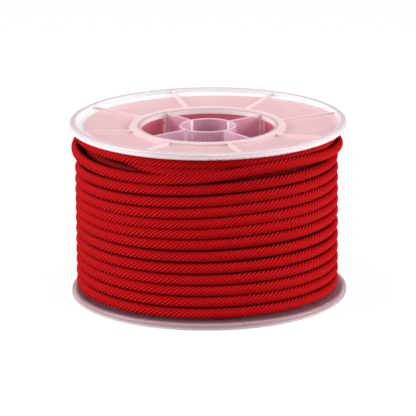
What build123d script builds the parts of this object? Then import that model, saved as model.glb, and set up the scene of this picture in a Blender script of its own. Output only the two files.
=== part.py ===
"""A spool of cord: a clear core tube, two clear flanges and the cord wound between them.

Millimetres, +Z up. The origin is at the centre of the base, on the spool's own axis, so the
spool stands on the rim of its lower flange and the axis runs up through the hub bore.
"""

from build123d import *
from math import cos, pi, radians, sin
import os

# Spool
overall_height = 64.5
flange_radius = 50.0

# Flange: a thin plate dished outwards, stiffened by a rim, a hub ring and ribs on its outer face
rim_width = 2.2
rim_depth = 2.4
rim_rounding = 0.7
rim_inner_radius = flange_radius - rim_width
plate_thickness = 1.0
plate_depth_at_rim = rim_depth - plate_thickness
dish = 1.5
plate_depth_at_hub = plate_depth_at_rim + dish
seat_depth = plate_depth_at_hub + plate_thickness
hub_ring_radius = 28.2
rib_count = 8
rib_width = 0.9
rib_phase = 15.5
rib_depth_at_rim = 0.6
rib_root = 0.3

# Core: barrel, hub tube and the webs that join them, all in one moulding
core_recess = 2.0
barrel_radius = 26.0
spigot_radius = 25.5
barrel_bore_radius = 24.3
hub_radius = 10.3
hub_bore_radius = 9.4
web_count = 4
web_thickness = 0.8
web_phase = 38.0
edge_break = 0.2

# Cord, wound in layers from the barrel out
cord_diameter = 4.0
layer_count = 6
turns_per_layer = 14
outer_layer_radius = 45.5
inner_layer_radius = barrel_radius + cord_diameter / 2
winding_radius = outer_layer_radius + cord_diameter / 2
first_turn_bottom = 3.2
winding_rounding = 1.8
crossing_turn_rise = 1.9
crossing_ramp = (49.0, 52.5)
crossing_top = 61.6


def radial_plane(degrees):
    """The upright plane through the axis whose x runs outwards at this angle."""
    angle = radians(degrees)
    outwards = (cos(angle), sin(angle), 0)
    return Plane(origin=(0, 0, 0), x_dir=outwards, z_dir=(sin(angle), -cos(angle), 0))


def flange_point(side, radius, depth):
    """Radius and height of a point that lies this deep behind a flange's outer rim edge."""
    edge = overall_height if side > 0 else 0
    return (radius, edge - side * depth)


def angles(count, phase):
    return [phase + 360 / count * step for step in range(count)]


# Flanges: side is +1 for the upper one and -1 for the lower one, its mirror image
for side, flange_name in ((1, "upper_flange"), (-1, "lower_flange")):
    with BuildPart() as flange:
        with BuildSketch(Plane.XZ) as flange_section:
            with BuildLine():
                Polyline(
                    flange_point(side, spigot_radius, core_recess),
                    flange_point(side, hub_ring_radius, core_recess),
                    flange_point(side, hub_ring_radius, plate_depth_at_hub),
                    flange_point(side, rim_inner_radius, plate_depth_at_rim),
                    flange_point(side, rim_inner_radius, 0),
                    flange_point(side, flange_radius, 0),
                    flange_point(side, flange_radius, rim_depth),
                    flange_point(side, rim_inner_radius, rim_depth),
                    flange_point(side, hub_ring_radius, seat_depth),
                    flange_point(side, spigot_radius, seat_depth),
                    close=True,
                )
            make_face()
            outer_corners = flange_section.vertices().group_by(Axis.X)[-1]
            fillet(outer_corners, radius=rim_rounding)
        revolve(axis=Axis.Z)
        for angle in angles(rib_count, rib_phase):
            with BuildSketch(radial_plane(angle)):
                with BuildLine():
                    Polyline(
                        flange_point(side, hub_ring_radius - rib_root, core_recess),
                        flange_point(side, rim_inner_radius + rib_root, rib_depth_at_rim),
                        flange_point(side, rim_inner_radius + rib_root, plate_depth_at_rim + rib_root),
                        flange_point(side, hub_ring_radius - rib_root, plate_depth_at_hub + rib_root),
                        close=True,
                    )
                make_face()
            extrude(amount=rib_width / 2, both=True)
    flange.part.label = flange_name
    if side > 0:
        upper_flange = flange
    else:
        lower_flange = flange

# Core: its barrel is stepped down at both ends, so that each flange seats on a shoulder
core_bottom = core_recess
core_top = overall_height - core_recess
shoulder_bottom = seat_depth
shoulder_top = overall_height - seat_depth
with BuildPart() as core:
    with BuildSketch(Plane.XZ):
        with BuildLine():
            Polyline(
                (barrel_bore_radius, core_bottom),
                (spigot_radius, core_bottom),
                (spigot_radius, shoulder_bottom),
                (barrel_radius, shoulder_bottom),
                (barrel_radius, shoulder_top),
                (spigot_radius, shoulder_top),
                (spigot_radius, core_top),
                (barrel_bore_radius, core_top),
                close=True,
            )
        make_face()
    revolve(axis=Axis.Z)
    with BuildSketch(Plane.XY.offset(core_bottom)):
        Circle(hub_radius)
        Circle(hub_bore_radius, mode=Mode.SUBTRACT)
        web_inner = (hub_bore_radius + hub_radius) / 2
        web_outer = (barrel_bore_radius + spigot_radius) / 2
        with PolarLocations((web_inner + web_outer) / 2, web_count, web_phase):
            Rectangle(web_outer - web_inner, web_thickness)
    extrude(amount=core_top - core_bottom)
    for end_face in (core.faces().sort_by(Axis.Z)[0], core.faces().sort_by(Axis.Z)[-1]):
        chamfer(end_face.edges(), length=edge_break)
core.part.label = "core"

# Cord: the outer shape of the whole winding, with the band where the last turn lies on top
crossing_radius = winding_radius + crossing_turn_rise
with BuildPart() as cord_winding:
    with BuildSketch(Plane.XZ) as winding_section:
        with BuildLine():
            Polyline(
                (barrel_radius, shoulder_bottom),
                flange_point(-1, hub_ring_radius, seat_depth),
                (winding_radius, first_turn_bottom),
                (winding_radius, crossing_ramp[0]),
                (crossing_radius, crossing_ramp[1]),
                (crossing_radius, crossing_top),
                flange_point(1, hub_ring_radius, seat_depth),
                (barrel_radius, shoulder_top),
                close=True,
            )
        make_face()
        top_and_ramp = winding_section.vertices().group_by(Axis.X)[-1]
        bottom = winding_section.vertices().group_by(Axis.X)[-2].sort_by(Axis.Z)[0]
        fillet([*top_and_ramp, bottom], radius=winding_rounding)
    revolve(axis=Axis.Z)
cord_winding.part.label = "cord_winding"

# The cord's length follows from the winding
layer_step = (outer_layer_radius - inner_layer_radius) / (layer_count - 1)
layer_radii = [inner_layer_radius + layer_step * layer for layer in range(layer_count)]
cord_length = sum(2 * pi * radius * turns_per_layer for radius in layer_radii)
print(f"cord about {cord_length / 1000:.1f} m in {layer_count} layers of {turns_per_layer} turns")

os.makedirs("parts", exist_ok=True)
for piece in (upper_flange, lower_flange, core, cord_winding):
    export_step(piece.part, f"parts/{piece.part.label}.step")
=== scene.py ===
"""A clear spool wound full of thin red twisted cord: the cord, the plastic, the floor and the lights."""

import math

import bpy
import numpy as np
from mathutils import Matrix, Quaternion, Vector


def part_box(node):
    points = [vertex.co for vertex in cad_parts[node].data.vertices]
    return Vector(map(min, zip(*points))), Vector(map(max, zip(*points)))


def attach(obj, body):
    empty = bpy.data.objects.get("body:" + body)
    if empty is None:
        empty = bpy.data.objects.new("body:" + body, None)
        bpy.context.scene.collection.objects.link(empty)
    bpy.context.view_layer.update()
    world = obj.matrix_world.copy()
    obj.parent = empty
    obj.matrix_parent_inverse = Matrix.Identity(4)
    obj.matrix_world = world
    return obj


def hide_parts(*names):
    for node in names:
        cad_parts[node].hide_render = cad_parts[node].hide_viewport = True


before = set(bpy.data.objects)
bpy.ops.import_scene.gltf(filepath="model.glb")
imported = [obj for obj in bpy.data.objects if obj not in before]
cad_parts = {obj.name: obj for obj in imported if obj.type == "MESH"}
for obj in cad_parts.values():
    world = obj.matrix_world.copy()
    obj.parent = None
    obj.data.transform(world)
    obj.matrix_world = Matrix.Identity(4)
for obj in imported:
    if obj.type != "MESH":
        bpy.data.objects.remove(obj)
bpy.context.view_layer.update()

MM = 0.001
FULL_TURN = 2 * math.pi

# The spool: sizes in millimetres, and where its first rib and web stand, in degrees
SPOOL_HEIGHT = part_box("upper_flange")[1].z / MM
SEAT_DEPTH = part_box("lower_flange")[1].z / MM
HUB_RING_RADIUS = 28.2
RIM_INNER_RADIUS = 47.8
RIM_DEPTH = 2.4
RIB_COUNT = 8
RIB_PHASE = 15.5
WEB_COUNT = 4
WEB_PHASE = 38.0

# The cord: its length in metres, and its make-up in millimetres
CORD_DIAMETER = 4.0
STRANDS = 8
STRAND_DEPTH = 0.34
STRAND_COLUMNS = 6
LAY_LENGTH = 14.1

# The cord's mesh: points along it, and how much thinner its core and its sealed end are
POINTS_PER_TURN = 16
STEPS_PER_POINT = 15
CORE_SIDES = 8
CORE_EVERY = 8
CORE_SHARE = 0.82
SEALED_SHARE = 0.7
SLEEVE_OVERLAP = 0.1
DEEPER_OVERLAP = 0.05

# The hidden layers, from the barrel out. The last one stops a turn short of the upper flange.
START_ANGLE = 90.0
FIRST_RADIUS = 28.0
LAYER_STEP = 3.5
INNER_LAYER_TURNS = (14, 14, 14, 14, 13)
LAST_LAYER_SHORT_BY = 3.7
LAYER_CHANGE = 0.2

# The outer layer, up to its twelfth turn
OUTER_RADIUS = 45.7
LEAN = -0.6
OUTER_TURNS = 12
FIRST_HEIGHT = 5.3
TURN_PITCH = 4.0
LEFT_SIDE = (180.0 - START_ANGLE) / 360
FRONT_LEFT = (232.0 - START_ANGLE) / 360
FRONT_RIGHT = (298.0 - START_ANGLE) / 360
RIGHT_SIDE = (360.0 - START_ANGLE) / 360
UNEVEN_HEIGHTS = (0, 0.25, 0.3, 0.15, 0.15, 0.3, 0.45, 0.25, -0.2, -0.45, -0.4, -0.05)
STEEPEST_RISE = 2.5
FLAT_TURNS = 2
STEEPENING_TURNS = 7
SLACK = 0.12
SLACK_RHYTHM = 2.3
LEFT_DROP = 0.17
RIGHT_DROP = 0.3

# The last turns, which cross under the upper flange: angle, radius and height at each place
TURN_BEHIND = (
    (400, 43.1, 56.6), (430, 42.8, 59.2), (460, 42.0, 59.6), (540, 42.0, 59.6), (583, 41.9, 59.3),
    (607, 45.4, 56.8), (635, 45.5, 56.6), (655, 44.6, 56.5),
)
TURN_UNDER_FLANGE = (
    (690, 44.2, 56.4), (720, 45.0, 56.4), (755, 46.2, 56.9), (780, 46.4, 56.8), (810, 45.6, 56.7),
    (840, 45.4, 57.6), (870, 45.4, 59.2), (900, 45.5, 59.9), (1080, 45.5, 59.9), (1115, 45.8, 59.9),
    (1150, 46.8, 59.9),
)
LAST_TURN = (
    (1180, 46.6, 59.8), (1200, 47.4, 58.8), (1220, 47.6, 57.2), (1240, 47.3, 55.6), (1263, 46.9, 54.5),
    (1287, 46.4, 53.3), (1302, 46.1, 53.1), (1325, 45.8, 53.5), (1350, 46.4, 55.1), (1364, 47.0, 56.7),
    (1378, 47.6, 58.3), (1393, 47.8, 58.1), (1417, 47.6, 56.6), (1440, 47.4, 55.9), (1475, 47.2, 54.6),
    (1510, 46.3, 53.0), (1530, 45.8, 52.2), (1580, 45.6, 51.8), (1615, 45.2, 51.7), (1632, 44.6, 51.8),
)


def plate_face(radius):
    """Height of the lower plate's upper face at this radius."""
    share = (RIM_INNER_RADIUS - radius) / (RIM_INNER_RADIUS - HUB_RING_RADIUS)
    return RIM_DEPTH + (SEAT_DEPTH - RIM_DEPTH) * share


def inner_layer_places():
    """Turn, radius and height of the places that the hidden layers pass through."""
    places = []
    turn = 0
    for layer, turns in enumerate(INNER_LAYER_TURNS):
        radius = FIRST_RADIUS + LAYER_STEP * layer
        low = plate_face(radius) + CORD_DIAMETER / 2
        high = SPOOL_HEIGHT - low
        if layer == len(INNER_LAYER_TURNS) - 1:
            high = high - LAST_LAYER_SHORT_BY
        begins, ends = (high, low) if layer % 2 == 0 else (low, high)
        places.append((turn, radius, begins))
        places.append((turn + turns - 1, radius, ends))
        places.append((turn + turns - LAYER_CHANGE, radius, ends))
        turn += turns
    return places, turn


def outer_layer_places(first_turn):
    """The visible turns lie flat at the bottom and cross the front more steeply higher up."""
    places = [(first_turn, OUTER_RADIUS, FIRST_HEIGHT)]
    for number in range(OUTER_TURNS):
        turn = first_turn + number
        left = FIRST_HEIGHT + TURN_PITCH * number + UNEVEN_HEIGHTS[number]
        rise = STEEPEST_RISE * min(max((number - FLAT_TURNS) / STEEPENING_TURNS, 0), 1)
        slack = SLACK * math.sin(SLACK_RHYTHM * number)
        places.append((turn + LEFT_SIDE, OUTER_RADIUS, left - LEFT_DROP * number))
        places.append((turn + FRONT_LEFT, OUTER_RADIUS + slack, left))
        places.append((turn + FRONT_RIGHT, OUTER_RADIUS - slack, left + rise))
        places.append((turn + RIGHT_SIDE, OUTER_RADIUS, left + rise - RIGHT_DROP))
    return places


def last_places(first_turn):
    """The same for the last turns, whose angles are counted on from the twelfth turn's start."""
    base = first_turn + OUTER_TURNS - 1
    crossing = TURN_BEHIND + TURN_UNDER_FLANGE + LAST_TURN
    return [(base + (angle - START_ANGLE) / 360, radius, height) for angle, radius, height in crossing]


def route_points():
    """Evenly spaced control points of the cord's whole way, in metres, and the outer layer's first turn."""
    hidden, first_turn = inner_layer_places()
    places = hidden + outer_layer_places(first_turn) + last_places(first_turn)
    turns, radii, heights = (np.array(column) for column in zip(*places))
    outward = 1 / math.cos(math.pi / POINTS_PER_TURN)
    points = []
    for step in range(int(turns[-1] * POINTS_PER_TURN) + 1):
        turn = step / POINTS_PER_TURN
        angle = FULL_TURN * turn + math.radians(START_ANGLE)
        radius = np.interp(turn, turns, radii) * outward * MM
        height = np.interp(turn, turns, heights) * MM
        lean = LEAN * MM * min(turn / first_turn, 1)
        points.append((radius * math.cos(angle) + lean, radius * math.sin(angle), height))
    return points, first_turn


def smooth_line(points):
    """Closely spaced points read from one smooth spline through the route."""
    curve = bpy.data.curves.new("cord_route", "CURVE")
    curve.dimensions = "3D"
    curve.resolution_u = STEPS_PER_POINT
    spline = curve.splines.new("NURBS")
    spline.points.add(len(points) - 1)
    for point, place in zip(spline.points, points):
        point.co = (*place, 1)
    spline.order_u = 3
    spline.use_endpoint_u = True
    holder = bpy.data.objects.new("cord_route", curve)
    mesh = bpy.data.meshes.new_from_object(holder)
    line = np.array([vertex.co for vertex in mesh.vertices])
    bpy.data.meshes.remove(mesh)
    bpy.data.objects.remove(holder)
    bpy.data.curves.remove(curve)
    return line


def length_along(line):
    """Length of cord up to each point."""
    steps = np.linalg.norm(np.diff(line, axis=0), axis=1)
    return np.concatenate([[0], np.cumsum(steps)])


def turns_along(line):
    """How many turns about the axis the cord has made at each point."""
    angles = np.unwrap(np.arctan2(line[:, 1], line[:, 0]))
    return (angles - angles[0]) / FULL_TURN


def section_directions(line):
    """The cord's section at each point: the way out from the spool's axis, and the way across it."""
    tangents = np.gradient(line, axis=0)
    tangents /= np.linalg.norm(tangents, axis=1)[:, None]
    outward = line * (1, 1, 0)
    outward -= tangents * (outward * tangents).sum(1)[:, None]
    outward /= np.linalg.norm(outward, axis=1)[:, None]
    return outward, np.cross(tangents, outward)


def tube_faces(rings, sides):
    """Walls and ends of a closed tube, whose two end centres are its last two vertices."""
    column = np.arange(sides)
    following = (column + 1) % sides
    ring = np.arange(rings - 1)[:, None] * sides
    nearer = ring + column
    further = ring + following
    walls = np.stack([nearer, further, further + sides, nearer + sides], axis=2).reshape(-1, 4)
    first_centre = rings * sides
    last_centre = first_centre + 1
    last_ring = (rings - 1) * sides
    ends = [(first_centre, int(b), int(a)) for a, b in zip(column, following)]
    ends += [(last_centre, int(last_ring + a), int(last_ring + b)) for a, b in zip(column, following)]
    return walls.tolist() + ends


def cord_tube(name, line, along, radii, sides, twisted):
    """A closed tube round the line. Its columns follow the strands' lay where it is twisted."""
    outward, across = section_directions(line)
    lay = FULL_TURN * along / (LAY_LENGTH * MM)
    around = FULL_TURN * np.arange(sides)[None, :] / sides - (lay[:, None] if twisted else 0)
    size = np.broadcast_to(radii, (len(line), sides))[:, :, None]
    points = line[:, None, :] + size * (
        np.cos(around)[:, :, None] * outward[:, None, :] + np.sin(around)[:, :, None] * across[:, None, :]
    )
    vertices = np.concatenate([points.reshape(-1, 3), line[[0, -1]]])
    mesh = bpy.data.meshes.new(name)
    mesh.from_pydata(vertices.tolist(), [], tube_faces(len(line), sides))
    add_cord_maps(mesh, along, lay, sides, twisted)
    for polygon in mesh.polygons:
        polygon.use_smooth = True
    mesh.validate()
    piece = bpy.data.objects.new(name, mesh)
    bpy.context.scene.collection.objects.link(piece)
    return piece


def add_cord_maps(mesh, along, lay, sides, twisted):
    """Three maps: "lay" runs along each strand, "side" says how far the surface faces out from the
    spool's axis, from 0 to 1, and "OFBake" lays the turns out as strips."""
    rings = len(along)
    ring = np.repeat(np.arange(rings - 1), sides)
    column = np.tile(np.arange(sides), rings - 1)
    corner_ring = np.stack([ring, ring, ring + 1, ring + 1], axis=1)
    corner_column = np.stack([column, column + 1, column + 1, column], axis=1)

    strand = corner_column / sides
    if not twisted:
        strand = strand + lay[corner_ring] / FULL_TURN
    add_map(mesh, "lay", along[corner_ring] / (LAY_LENGTH * MM), strand)

    # The side map marks where the cord's colour carries painted shade between turns.
    angle = FULL_TURN * corner_column / sides - (lay[corner_ring] if twisted else 0)
    facing_out = 0.5 + 0.5 * np.cos(angle)
    add_map(mesh, "side", facing_out, np.zeros_like(facing_out))

    end_margin, strip_length = 0.01, 0.97
    side_margin, strip_width = 0.04, 0.92
    cord_length = along[-1] - along[0]
    share = (along - along[0]) / cord_length
    strips = max(1, round(cord_length / (FULL_TURN * OUTER_RADIUS * MM)))
    strip = np.minimum((share[ring] * strips).astype(int), strips - 1)[:, None]
    across = end_margin + strip_length * (share[corner_ring] * strips - strip)
    up = (strip + side_margin + strip_width * corner_column / sides) / strips
    add_map(mesh, "OFBake", across, up)


def add_map(mesh, name, across, up):
    """A map with these values at the corners of the tube's walls, and 0 on its ends."""
    values = np.zeros((len(mesh.loops), 2))
    values[: across.size, 0] = across.ravel()
    values[: up.size, 1] = up.ravel()
    layer = mesh.uv_layers.new(name=name)
    layer.data.foreach_set("uv", values.astype(np.float32).ravel())


def strand_profile():
    """Radii round one section: each strand is a rounded ridge, with a crease beside it."""
    place = np.arange(STRAND_COLUMNS) / STRAND_COLUMNS
    ridge = CORD_DIAMETER / 2 - STRAND_DEPTH * (1 - np.sin(math.pi * place))
    return np.tile(ridge * MM, STRANDS)


def make_sleeve(name, line, along, shown, yarn):
    """The ridged strands over the shown points of the cord, drawn in at the cord's sealed end."""
    profile = strand_profile()
    sealed = np.where(shown == len(line) - 1, SEALED_SHARE, 1.0)[:, None]
    sleeve = cord_tube(name, line[shown], along[shown], profile[None, :] * sealed, len(profile), True)
    sleeve.data.materials.append(yarn)
    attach(sleeve, "root")
    return sleeve


def make_cord(yarn):
    """One cord from the barrel to its sealed end: a plain core, and ridged sleeves where it shows."""
    points, first_turn = route_points()
    line = smooth_line(points)
    along = length_along(line)
    turns = turns_along(line)
    kept = np.unique(np.append(np.arange(0, len(line), CORE_EVERY), len(line) - 1))
    half = CORD_DIAMETER / 2 * MM
    sleeved = turns[kept] > first_turn - SLEEVE_OVERLAP
    radii = np.where(sleeved, CORE_SHARE * half, half)[:, None]
    core = cord_tube("cord", line[kept], along[kept], radii, CORE_SIDES, False)
    core.data.materials.append(yarn)
    deeper_turn = first_turn - INNER_LAYER_TURNS[-1]
    stretches = (
        ("cord_deeper_turn", deeper_turn - DEEPER_OVERLAP, deeper_turn + 1 + DEEPER_OVERLAP),
        ("cord_lower_turns", first_turn - SLEEVE_OVERLAP, first_turn + 5),
        ("cord_middle_turns", first_turn + 5, first_turn + 10),
        ("cord_last_turns", first_turn + 10, turns[-1]),
    )
    margin = 0.003
    for name, begin, end in stretches:
        shown = np.flatnonzero((turns >= begin - margin) & (turns <= end + margin))
        make_sleeve(name, line, along, shown, yarn)
    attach(core, "root")
    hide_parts("cord_winding")


class Nodes:
    """Short words for building a material's nodes."""

    def __init__(self, name):
        self.material = bpy.data.materials.new(name)
        self.material.use_nodes = True
        self.tree = self.material.node_tree
        self.tree.nodes.clear()
        self.output = self.add("ShaderNodeOutputMaterial")

    def add(self, kind, settings=None, **inputs):
        """A node of this kind, with its settings and its inputs' values or links."""
        node = self.tree.nodes.new(kind)
        for name, value in (settings or {}).items():
            setattr(node, name, value)
        for name, value in inputs.items():
            self.put(node, name.replace("_", " "), value)
        return node

    def put(self, node, name, value):
        """Links a socket to a node's input, or sets the input's value."""
        socket = node.inputs[int(name)] if name.isdigit() else node.inputs[name]
        if isinstance(value, bpy.types.NodeSocket):
            self.tree.links.new(value, socket)
        else:
            socket.default_value = value

    def finish(self, surface):
        """Makes this the material's surface, and gives the material."""
        self.put(self.output, "Surface", surface)
        return self.material

    def maths(self, operation, first, second=0.0):
        node = self.add("ShaderNodeMath", {"operation": operation})
        self.put(node, "0", first)
        self.put(node, "1", second)
        return node.outputs[0]

    def centred(self, value, amount):
        """A value from 0 to 1 made to swing about 0 by this much in all."""
        return self.maths("MULTIPLY", self.maths("SUBTRACT", value, 0.5), amount)

    def clamped(self, value, low=0.0, high=1.0):
        return self.maths("MINIMUM", self.maths("MAXIMUM", value, low), high)

    def distance(self, x, y):
        """How far a place is from the middle."""
        squares = self.maths("ADD", self.maths("MULTIPLY", x, x), self.maths("MULTIPLY", y, y))
        return self.maths("SQRT", squares)

    def smooth_step(self, value, low, high):
        """0 at low and 1 at high, with a soft change between them."""
        node = self.add("ShaderNodeMapRange", {"interpolation_type": "SMOOTHSTEP"}, Value=value)
        self.put(node, "From Min", low)
        self.put(node, "From Max", high)
        return node.outputs[0]

    def band(self, value, low, high, softness):
        """1 between low and high, 0 outside, with soft edges."""
        rise = self.smooth_step(value, low - softness, low + softness)
        fall = self.smooth_step(value, high + softness, high - softness)
        return self.maths("MULTIPLY", rise, fall)

    def spread(self, value, low, high):
        """A value from 0 to 1 spread from low to high."""
        node = self.add("ShaderNodeMapRange", Value=value)
        self.put(node, "To Min", low)
        self.put(node, "To Max", high)
        return node.outputs[0]

    def mix(self, factor, first, second):
        """The first colour where the factor is 0, and the second where it is 1."""
        node = self.add("ShaderNodeMix", {"data_type": "RGBA"})
        self.put(node, "0", factor)
        self.put(node, "6", first)
        self.put(node, "7", second)
        return node.outputs[2]

    def place(self):
        """The place on the object, and its x, y and height."""
        place = self.add("ShaderNodeTexCoord").outputs["Object"]
        x, y, height = self.add("ShaderNodeSeparateXYZ", Vector=place).outputs
        return place, x, y, height

    def stretched_noise(self, x, y, **settings):
        """Noise that runs along the first direction."""
        place = self.add("ShaderNodeCombineXYZ", X=x, Y=y).outputs[0]
        return self.add("ShaderNodeTexNoise", Vector=place, **settings).outputs[0]


def red_twisted_yarn():
    """Twisted filament yarn: bright along each strand, with painted shade in the creases, where turns touch
    and over the turns that lie deeper in the winding.
    """
    # The crease colour is painted shade in the creases between strands; the noise below adds the yarn's own
    # uneven tone.
    crease, ridge = (0.27, 0.0008, 0.0015, 1), (0.395, 0.0015, 0.004, 1)
    painted_shade_between_turns = (0.05, 0.0003, 0.0006, 1)
    make = Nodes("red_twisted_cord")
    lay = make.add("ShaderNodeUVMap", {"uv_map": "lay"}).outputs[0]
    along, around = make.add("ShaderNodeSeparateXYZ", Vector=lay).outputs[:2]
    strand = make.maths("MULTIPLY", around, float(STRANDS))
    across_strand = make.maths("MULTIPLY", make.maths("FRACT", strand), FULL_TURN)
    swell = make.maths("MULTIPLY", make.maths("SUBTRACT", 1.0, make.maths("COSINE", across_strand)), 0.5)
    fibres = make.stretched_noise(
        make.maths("MULTIPLY", along, 6.0), make.maths("MULTIPLY", strand, 9.0),
        Scale=1.0, Detail=3.0, Roughness=0.6,
    )
    each_strand = make.stretched_noise(
        make.maths("MULTIPLY", along, 0.6), make.maths("FLOOR", strand), Scale=1.7, Detail=1.0,
    )
    tone = make.maths("ADD", swell, make.centred(fibres, 0.3))
    tone = make.maths("ADD", tone, make.centred(each_strand, 0.3))
    yarn = make.mix(make.clamped(tone), crease, ridge)

    # Painted shade: the cord turns nearly black where its surface faces away from the outside, between
    # touching turns.
    side = make.add("ShaderNodeUVMap", {"uv_map": "side"}).outputs[0]
    facing_out = make.add("ShaderNodeSeparateXYZ", Vector=side).outputs[0]
    not_in_side_shade = make.smooth_step(facing_out, 0.42, 0.80)
    # Painted shade over the turns that lie deeper, from 37 to 44 mm out from the axis.
    x, y = make.place()[1:3]
    painted_deep_shade = make.band(make.distance(x, y), 37 * MM, 44 * MM, 1.4 * MM)
    not_in_painted_shade = make.maths("MULTIPLY", not_in_side_shade, make.maths("SUBTRACT", 1.0, painted_deep_shade))
    colour = make.mix(not_in_painted_shade, painted_shade_between_turns, yarn)

    height = make.maths("ADD", swell, make.maths("MULTIPLY", fibres, 0.35))
    bump = make.add("ShaderNodeBump", Strength=0.35, Distance=0.3 * MM, Height=height).outputs[0]
    rough = make.spread(fibres, 0.6, 0.75)
    shader = make.add("ShaderNodeBsdfPrincipled", Base_Color=colour, Roughness=rough, Normal=bump)
    make.put(shader, "Specular IOR Level", 0.06)
    return make.finish(shader.outputs[0])


def plastic_measures(make, spokes, phase):
    """What a zone's limits are measured by, in metres: the radius, the height, how far away the
    nearest of the evenly spaced spokes is, and the radius about the winding as it shows through."""
    place, x, y, height = make.place()
    radius = make.distance(x, y)
    sector = make.maths("MULTIPLY", make.maths("ARCTAN2", y, x), spokes / FULL_TURN)
    sector = make.maths("FRACT", make.maths("ADD", sector, 100.5 - phase * spokes / 360))
    swing = make.centred(sector, FULL_TURN / spokes)
    spoke = make.maths("MULTIPLY", make.maths("ABSOLUTE", make.maths("SINE", swing)), radius)
    # The winding's outline as it shows through from in front and above, off-centre and stretched; the upper
    # flange's painted cord glow ends there.
    winding = make.distance(make.maths("SUBTRACT", x, 1.3 * MM), make.maths("MULTIPLY", y, 1.065))
    return place, {"radius": radius, "height": height, "spoke": spoke, "winding": winding}


def zone(colour, solid, **limits):
    """A part of a plastic piece with its own colour and haze. Each limit is the lowest and the highest
    of a measure and the softness of its edges, in millimetres."""
    return colour, solid, limits


def milky_plastic(name, colour, solid, edge_on, spokes, phase, zones):
    """Hazy polypropylene: partly see-through, less so seen edge on, with a soft gloss.

    The colour is its haze's, solid is how much the haze hides, from 0 to 1, and edge_on is how much
    more it hides edge on. Later zones lie over earlier ones."""
    layers_seen_through = 5.5
    make = Nodes(name)
    place, measures = plastic_measures(make, spokes, phase)
    haze = make.add("ShaderNodeTexNoise", Vector=place, Scale=90.0, Detail=4.0, Roughness=0.55).outputs[0]
    grain = make.add("ShaderNodeTexNoise", Vector=place, Scale=900.0, Detail=2.0).outputs[0]
    cover = solid
    for zone_colour, zone_solid, limits in zones:
        inside = 1.0
        for what, (low, high, softness) in limits.items():
            band = make.band(measures[what], low * MM, high * MM, softness * MM)
            inside = make.maths("MULTIPLY", band, inside)
        colour = make.mix(inside, colour, zone_colour)
        change = make.maths("SUBTRACT", zone_solid, cover)
        cover = make.maths("ADD", make.maths("MULTIPLY", inside, change), cover)
    facing = make.add("ShaderNodeLayerWeight", Blend=0.35).outputs["Facing"]
    cover = make.maths("ADD", cover, make.maths("MULTIPLY", facing, edge_on))
    cover = make.clamped(make.maths("ADD", cover, make.centred(haze, 0.2)), 0.03, 0.99)
    passed = make.add("ShaderNodeLightPath").outputs["Transparent Depth"]
    cover = make.maths("MAXIMUM", cover, make.maths("GREATER_THAN", passed, layers_seen_through))

    bump = make.add("ShaderNodeBump", Strength=0.08, Distance=0.2 * MM, Height=grain).outputs[0]
    rough = make.spread(haze, 0.28, 0.45)
    shader = make.add("ShaderNodeBsdfPrincipled", Base_Color=colour, Roughness=rough, Normal=bump)
    make.put(shader, "Specular IOR Level", 0.35)
    make.put(shader, "Coat Weight", 0.15)
    make.put(shader, "Coat Roughness", 0.2)
    open_air = make.add("ShaderNodeBsdfTransparent")
    blend = make.add("ShaderNodeMixShader")
    make.put(blend, "0", cover)
    make.put(blend, "1", open_air.outputs[0])
    make.put(blend, "2", shader.outputs[0])
    return make.finish(blend.outputs[0])


def upper_flange_plastic():
    """Pink over the winding as a painted glow of the red cord below, a paler painted glow on the ribs and
    hub ring, white past it, with a grey-pink rim whose outer face is painted lighter as painted light.
    """
    # pink is a painted glow of the red cord through the haze over the winding; pale_pink is a paler painted
    # glow on the ribs and hub ring.
    pink, pale_pink = (0.77, 0.50, 0.53, 1), (0.76, 0.57, 0.585, 1)
    white = (0.72, 0.70, 0.715, 1)
    rim, rim_face_painted_light = (0.57, 0.46, 0.485, 1), (0.74, 0.59, 0.62, 1)
    top = SPOOL_HEIGHT
    return milky_plastic(
        "milky_upper_flange", pink, 0.55, 0.25, RIB_COUNT, RIB_PHASE,
        (
            zone(white, 0.75, winding=(46.4, 60, 0.5)),
            zone(pale_pink, 0.7, spoke=(-1, 0.75, 0.35), radius=(27, 47, 1)),
            zone(pale_pink, 0.7, radius=(25.5, 28.6, 0.3)),
            zone(rim, 0.72, radius=(47.9, 60, 0.2)),
            # Painted light: the rim's outer face is drawn lighter than the rest of the rim.
            zone(rim_face_painted_light, 0.8, radius=(49.2, 60, 0.2), height=(top - 2.6, top - 0.9, 0.3)),
        ),
    )


def lower_flange_plastic():
    """Dark under the winding, which shades it, as painted shade; paler towards the rim, and lighter at its
    lower edge as painted light from the floor below.
    """
    shaded, rim, rim_edge_painted_light = (0.20, 0.065, 0.085, 1), (0.44, 0.27, 0.30, 1), (0.66, 0.54, 0.56, 1)
    return milky_plastic(
        "milky_lower_flange", shaded, 0.86, 0.05, RIB_COUNT, RIB_PHASE,
        (
            zone(rim, 0.56, radius=(48.6, 60, 0.3)),
            # Painted light: the lowest 0.9 mm of the rim is drawn paler.
            zone(rim_edge_painted_light, 0.6, radius=(49, 60, 0.3), height=(-1, 0.9, 0.3)),
        ),
    )


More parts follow.
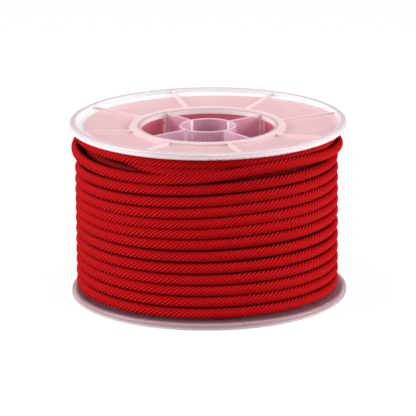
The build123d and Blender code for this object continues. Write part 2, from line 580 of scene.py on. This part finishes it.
def core_plastic():
    """Mauve webs and hub, with pale upper edges, painted light along the joints and in a band high on the
    barrel, and a barrel painted red as a glow from the cord behind it.
    """
    mauve, barrel_painted_cord_glow = (0.69, 0.385, 0.51, 1), (0.90, 0.19, 0.29, 1)
    collar_painted_light, joint_painted_light, top_edge = (0.84, 0.70, 0.71, 1), (1.0, 0.86, 0.89, 1), (0.58, 0.44, 0.48, 1)
    top = SPOOL_HEIGHT
    return milky_plastic(
        "clear_core", mauve, 0.38, 0.1, WEB_COUNT, WEB_PHASE,
        (
            # Painted glow: the barrel is drawn crimson as if lit red by the cord behind it.
            zone(barrel_painted_cord_glow, 0.45, radius=(23.9, 30, 0.2)),
            # Painted light: a pale band on the barrel's top 3.85 mm.
            zone(collar_painted_light, 0.85, radius=(23.9, 30, 0.2), height=(top - 3.85, top, 0.1)),
            # Painted light: pale lines along the joints of the webs with the barrel and the tube.
            zone(joint_painted_light, 0.75, spoke=(-1, 0.65, 0.2), radius=(23.7, 30, 0.2)),
            zone(joint_painted_light, 0.7, spoke=(-1, 0.6, 0.2), radius=(9, 11, 0.2)),
            zone(top_edge, 0.7, height=(top - 2.35, top, 0.1)),
        ),
    )


def dress(node, material):
    """Puts a material on every slot of a CAD part that stays as it is."""
    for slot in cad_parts[node].material_slots:
        slot.material = material


def make_floor():
    """A pale floor that the camera sees as nearly white, and that lights the spool softly from below."""
    make = Nodes("pale_floor")
    camera_ray = make.add("ShaderNodeLightPath").outputs["Is Camera Ray"]
    plain = make.add("ShaderNodeBsdfDiffuse", Color=(0.4, 0.4, 0.4, 1))
    bright = make.add("ShaderNodeEmission", Color=(1, 1, 1, 1), Strength=1.06)
    blend = make.add("ShaderNodeMixShader")
    make.put(blend, "0", make.maths("MULTIPLY", camera_ray, 0.9))
    make.put(blend, "1", plain.outputs[0])
    make.put(blend, "2", bright.outputs[0])
    bpy.ops.object.select_all(action="DESELECT")
    bpy.ops.mesh.primitive_plane_add(size=6.0, location=(0, 0, 0))
    floor = bpy.context.object
    floor.name = "floor"
    floor.data.materials.append(make.finish(blend.outputs[0]))


def soft_light(name, place, size, power):
    """A softbox of this size, in metres, and power, in watts, that faces the middle of the spool."""
    light = bpy.data.lights.new(name, "AREA")
    light.shape = "RECTANGLE"
    light.size, light.size_y = size
    light.energy = power
    holder = bpy.data.objects.new(name, light)
    holder.location = place
    aim = Vector((0, 0, 0.03))
    holder.rotation_euler = (aim - Vector(place)).to_track_quat("-Z", "Y").to_euler()
    bpy.context.scene.collection.objects.link(holder)


def make_room():
    """A white backdrop that gives much less light than it shows."""
    world = bpy.data.worlds.new("pale_room")
    bpy.context.scene.world = world
    world.use_nodes = True
    tree = world.node_tree
    background = tree.nodes["Background"]
    background.inputs["Color"].default_value = (1, 1, 1, 1)
    seen = tree.nodes.new("ShaderNodeLightPath")
    strength = tree.nodes.new("ShaderNodeMapRange")
    strength.inputs["To Min"].default_value = 0.2
    strength.inputs["To Max"].default_value = 1.0
    tree.links.new(seen.outputs["Is Camera Ray"], strength.inputs["Value"])
    tree.links.new(strength.outputs[0], background.inputs["Strength"])
    bpy.context.scene.view_settings.view_transform = "Standard"


def make_lights():
    """A softbox above, one at each side, and a weak one in front."""
    soft_light("top_softbox", (-0.05, -0.1, 0.9), (0.9, 0.7), 7.5)
    soft_light("left_softbox", (-1.0, -0.25, 0.3), (0.6, 0.6), 15.5)
    soft_light("right_softbox", (1.0, -0.25, 0.3), (0.6, 0.6), 15.5)
    soft_light("front_softbox", (0.0, -1.25, 0.3), (1.0, 0.6), 2.0)


def make_camera():
    """Stands in front of the spool, a little above it, with a long lens and a slight roll."""
    middle = Vector((0, 0, 33)) * MM
    distance = 1400 * MM
    elevation = math.radians(15.3)
    roll = math.radians(-0.45)
    camera = bpy.data.cameras.new("camera")
    camera.sensor_width = 36.0
    camera.lens = 333.52
    camera.shift_x = -0.0012
    camera.shift_y = -0.01058
    camera.clip_start = 0.05
    camera.clip_end = 20
    holder = bpy.data.objects.new("camera", camera)
    back = Vector((0, -math.cos(elevation), math.sin(elevation)))
    holder.location = middle + back * distance
    holder.rotation_mode = "QUATERNION"
    holder.rotation_quaternion = (-back).to_track_quat("-Z", "Y") @ Quaternion((0, 0, 1), roll)
    bpy.context.scene.collection.objects.link(holder)
    bpy.context.scene.camera = holder


make_camera()
make_cord(red_twisted_yarn())
dress("upper_flange", upper_flange_plastic())
dress("lower_flange", lower_flange_plastic())
dress("core", core_plastic())
make_floor()
make_lights()
make_room()
